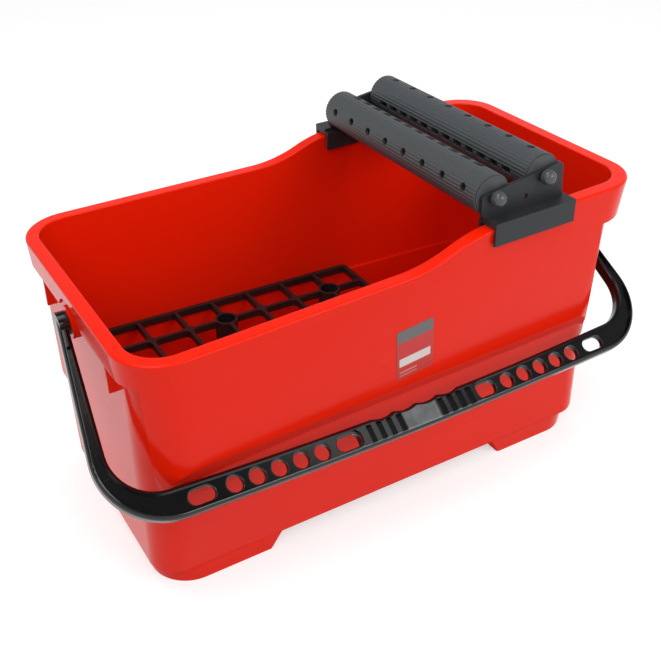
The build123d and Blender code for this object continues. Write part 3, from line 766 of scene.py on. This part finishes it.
def row(cutter, count, pitch, angle):
    """Cutters side by side along the axis, turned together to an angle around it."""
    gaps = sum_up(roller_tree, "SUBTRACT", count, 1.0)
    first = times(gaps, times(pitch, -0.5))
    layout = {"Count": count, "Start Location": triple(z=first), "Offset": triple(z=pitch)}
    points = made("GeometryNodeMeshLine", layout)
    placed = made("GeometryNodeInstanceOnPoints", {"Points": points, "Instance": cutter})
    placed = made("GeometryNodeRealizeInstances", {"Geometry": placed})
    return moved(placed, turn=triple(z=angle))


wall_middle = triple(x=times(given["Radius"], WALL_MIDDLE))
cutter_depth = times(given["Radius"], CUTTER_DEPTH)
drill = {"Vertices": DRILL_SIDES, "Radius": given["Hole Radius"], "Depth": cutter_depth}
drill = moved(made("GeometryNodeMeshCylinder", drill, "Mesh"), wall_middle, ON_ITS_SIDE)
outline = {"Width": given["Window Length"], "Height": given["Window Width"]}
outline = made("GeometryNodeCurvePrimitiveQuadrilateral", outline)
outline = {"Curve": outline, "Count": CORNER_STEPS, "Radius": WINDOW_CORNER}
outline = made("GeometryNodeFilletCurve", outline, mode="POLY")
punch = moved(swept(upright_line(cutter_depth), outline), wall_middle, ON_ITS_SIDE)
rows = [row(drill, given["Holes"], given["Hole Pitch"], given["Row Angle"])]
for turn in ("First Window Turn", "Second Window Turn"):
    angle = sum_up(roller_tree, "ADD", given["Row Angle"], given[turn])
    rows.append(row(punch, given["Windows"], given["Window Pitch"], angle))
print("rows of cutters:", len(rows))

# %% [markdown]
# The finish of the rollers is satin grey with fine lines along the extrusion, which is again noise
# stretched along the axis, used for the colour and the bump.

# %% Roller finish
LINE_STRETCH = (1.0, 0.03, 1.0)
LINE_SCALE = 1500.0
LINE_CUT = (0.35, 0.7)
LINE_SHARE = 0.5
LINE_GREY = (0.045, 0.050, 0.054)
LINE_BUMP = 0.00006

roller_grey = moulded_plastic(
    "roller_grey",
    dark=(0.042, 0.049, 0.053),
    light=(0.053, 0.060, 0.065),
    edge_colour=(0.10, 0.108, 0.115),
    edge_share=0.45,
    gloss=0.46,
    bump=0.00003,
    skin={"Peel Scale": 350.0, "Grain Share": 0.6},
)
tree, shader = inside(roller_grey)
stretched = {"Vector": object_place(tree), "Scale": LINE_STRETCH}
stretched = put(tree, "ShaderNodeMapping", stretched).outputs[0]
lines = noise(tree, stretched, LINE_SCALE, detail=3.0, roughness=0.6)
streaks = spread(tree, lines, *LINE_CUT, to_high=LINE_SHARE)
colour = mix_colour(tree, streaks, feed(shader, "Base Color"), LINE_GREY)
tree.links.new(colour, shader.inputs["Base Color"])
raise_bump(tree, shader, lines, LINE_BUMP)
paint(roller_grey, "front_roller", "rear_roller")

# %% [markdown]
# The bore and the rows of cutters are taken out of the rod in one exact difference. The flutes are
# shaded smooth, and edges that bend more than an angle stay crisp, as at the holes and the ends.

# %% Roller tree: pierced tube
CRISP_ANGLE = math.radians(50.0)
ALONG_Y = (math.pi / 2, 0, 0)

pierce = {"Mesh 1": rod}
pierce = put(roller_tree, "GeometryNodeMeshBoolean", pierce, operation="DIFFERENCE", solver="EXACT")
for cutter in (bore, *rows):
    roller_tree.links.new(cutter, pierce.inputs["Mesh 2"])
pierced = moved(pierce.outputs[0], given["Axis Place"], ALONG_Y)
smooth = {"Geometry": pierced, "Shade Smooth": True}
smooth = made("GeometryNodeSetShadeSmooth", smooth, domain="FACE")
bend = made("GeometryNodeInputMeshEdgeAngle", {}, "Unsigned Angle")
sharp = sum_up(roller_tree, "GREATER_THAN", bend, CRISP_ANGLE)
crisp = {"Geometry": smooth, "Selection": sharp, "Shade Smooth": False}
crisp = made("GeometryNodeSetShadeSmooth", crisp, domain="EDGE")
whole = made("GeometryNodeRealizeInstances", {"Geometry": crisp})
dressed = made("GeometryNodeSetMaterial", {"Geometry": whole, "Material": roller_grey})
put(roller_tree, "NodeGroupOutput", {0: dressed})
print("roller tree:", len(roller_tree.nodes), "nodes")

# %% [markdown]
# The tree runs as a modifier on an empty mesh, once for each roller. Its result is kept as a plain
# mesh that rides on the roller's body in place of the solid.

# %% Rollers
ROW_ANGLES = {"front_roller": math.radians(164.0), "rear_roller": math.radians(86.0)}

for name, row_angle in ROW_ANGLES.items():
    low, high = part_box(name)
    maker = bpy.data.objects.new(name + "_maker", bpy.data.meshes.new(name + "_maker"))
    scene.collection.objects.link(maker)
    modifier = maker.modifiers.new("fluted_roller", "NODES")
    modifier.node_group = roller_tree
    modifier[roller_keys["Row Angle"]] = row_angle
    modifier[roller_keys["Axis Place"]] = (low + high) / 2
    ready = maker.evaluated_get(bpy.context.evaluated_depsgraph_get())
    mesh = bpy.data.meshes.new_from_object(ready)
    mesh.name = name + "_sleeve"
    bpy.data.objects.remove(maker)
    sleeve = bpy.data.objects.new(name + "_sleeve", mesh)
    scene.collection.objects.link(sleeve)
    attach(sleeve, name)
    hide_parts(name)
    print(sleeve.name, len(mesh.polygons), "faces, solid box", [round(v, 4) for v in (*low, *high)])

# %% [markdown]
# Last, the size of the dressed model is printed.

# %% Finish
low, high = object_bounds()
print("visual box:", [round(v, 4) for v in (*low, *high)])
